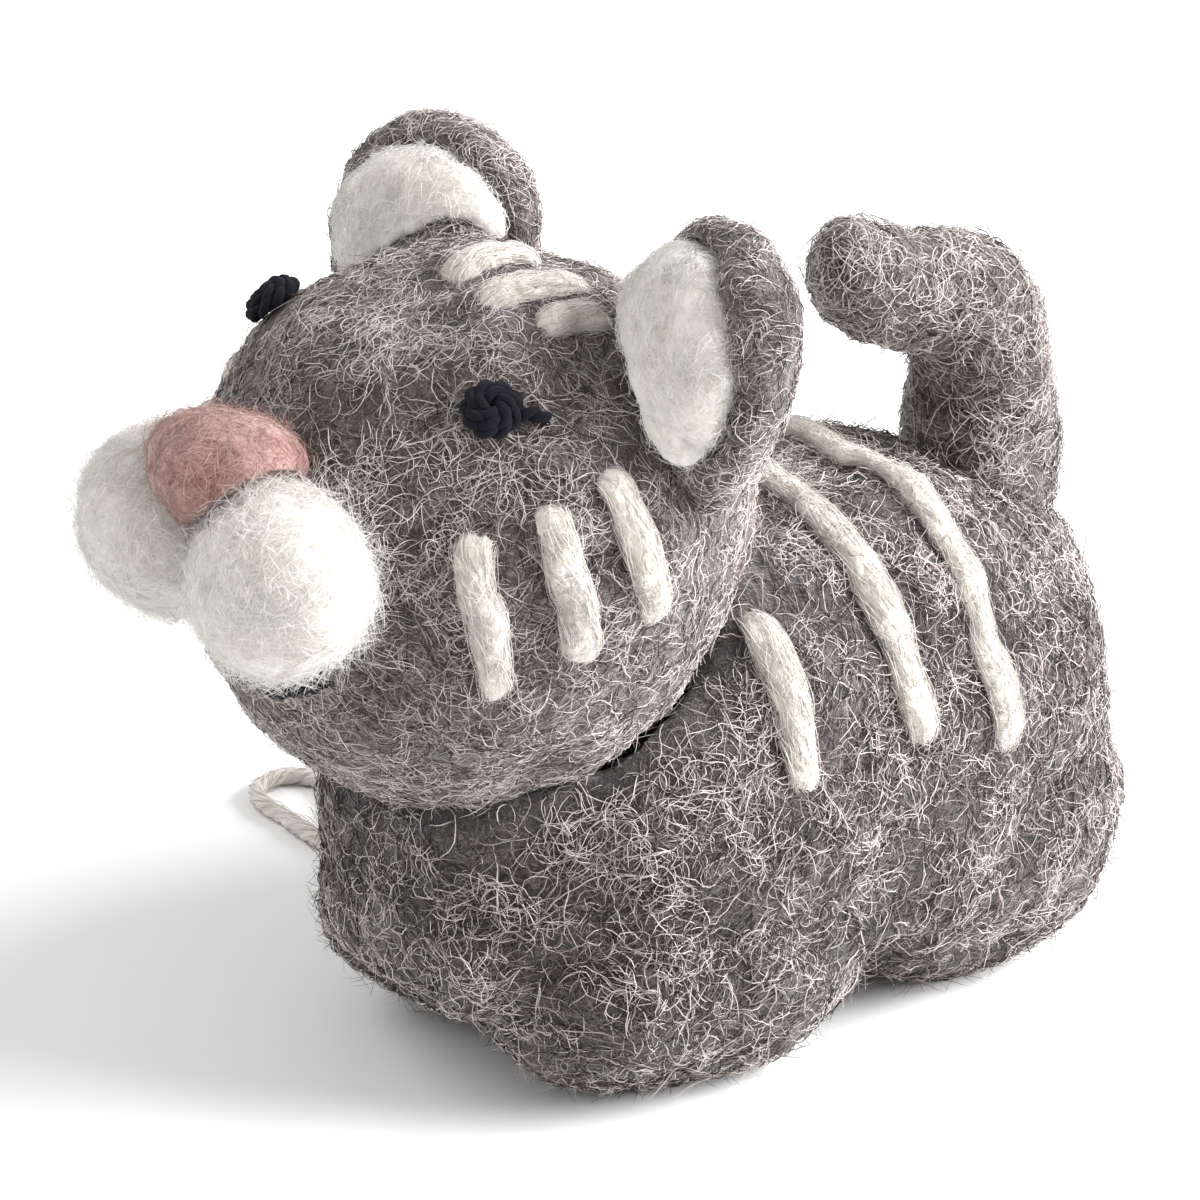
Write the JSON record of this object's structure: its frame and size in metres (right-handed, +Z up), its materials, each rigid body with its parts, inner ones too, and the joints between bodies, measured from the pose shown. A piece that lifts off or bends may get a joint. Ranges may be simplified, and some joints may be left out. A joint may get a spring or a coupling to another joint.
{
  "type": "felted wool cat figure",
  "caption": "Small solid cat of grey felted wool with yarn stripes, white muzzle, hooked tail and a yarn hanging loop; its head, ears and tail flex and spring back.",
  "frame": {"origin": "on the table under the middle of the cat, from its muzzle to its rump", "axes": "+Z up, the cat faces -Y, +X is its left side"},
  "size_m": [0.0597, 0.0712, 0.0586],
  "materials": {
    "grey_wool": "coarse curly felted wool, mottled light and dark grey",
    "white_wool": "fine smooth felted wool",
    "pink_wool": "fine felted wool, mottled",
    "cream_yarn": "soft twisted wool yarn",
    "navy_thread": "stranded embroidery thread"
  },
  "bodies": {
    "body": {"body": "grey_wool", "front_left_leg": "grey_wool", "front_right_leg": "grey_wool", "hind_left_leg": "grey_wool", "hind_right_leg": "grey_wool", "back_stripe_1_left": "cream_yarn", "back_stripe_1_right": "cream_yarn", "back_stripe_2": "cream_yarn", "back_stripe_3": "cream_yarn", "loop_knot": "cream_yarn", "hanging_loop": "cream_yarn"},
    "neck": {"neck_wad": "grey_wool"},
    "head": {"head": "grey_wool", "nose": "pink_wool", "left_muzzle_puff": "white_wool", "right_muzzle_puff": "white_wool", "left_eye": "navy_thread", "right_eye": "navy_thread", "left_mouth_stitch": "navy_thread", "right_mouth_stitch": "navy_thread", "left_cheek_stripe_1": "cream_yarn", "left_cheek_stripe_2": "cream_yarn", "left_cheek_stripe_3": "cream_yarn", "right_cheek_stripe_1": "cream_yarn", "right_cheek_stripe_2": "cream_yarn", "right_cheek_stripe_3": "cream_yarn", "crown_stripe_1": "cream_yarn", "crown_stripe_2": "cream_yarn", "crown_stripe_3": "cream_yarn"},
    "left_ear": {"left_ear": "grey_wool", "left_inner_ear": "white_wool"},
    "right_ear": {"right_ear": "grey_wool", "right_inner_ear": "white_wool"},
    "tail": {"tail": "grey_wool"}
  },
  "joints": [
    {"name": "head_turn", "type": "hinge", "parent": "body", "child": "neck", "pos_m": [0, -0.01185, 0.036], "axis": [0, -0.5151, 0.8571], "range_deg": [-12, 12], "stiffness_Nm_per_rad": 0.05},
    {"name": "head_nod", "type": "hinge", "parent": "neck", "child": "head", "pos_m": [0, -0.01185, 0.036], "axis": [1, 0, 0], "range_deg": [-8, 8], "stiffness_Nm_per_rad": 0.05},
    {"name": "left_ear_flex", "type": "hinge", "parent": "head", "child": "left_ear", "pos_m": [0.01253, -0.00584, 0.04613], "axis": [0.6729, -0.2057, -0.7106], "range_deg": [-10, 10], "stiffness_Nm_per_rad": 0.001},
    {"name": "right_ear_flex", "type": "hinge", "parent": "head", "child": "right_ear", "pos_m": [-0.01253, -0.00584, 0.04613], "axis": [-0.6729, -0.2057, -0.7106], "range_deg": [-10, 10], "stiffness_Nm_per_rad": 0.001},
    {"name": "tail_sway", "type": "hinge", "parent": "body", "child": "tail", "pos_m": [0, 0.02956, 0.02716], "axis": [0, 1, 0], "range_deg": [-15, 15], "stiffness_Nm_per_rad": 0.005}
  ]
}
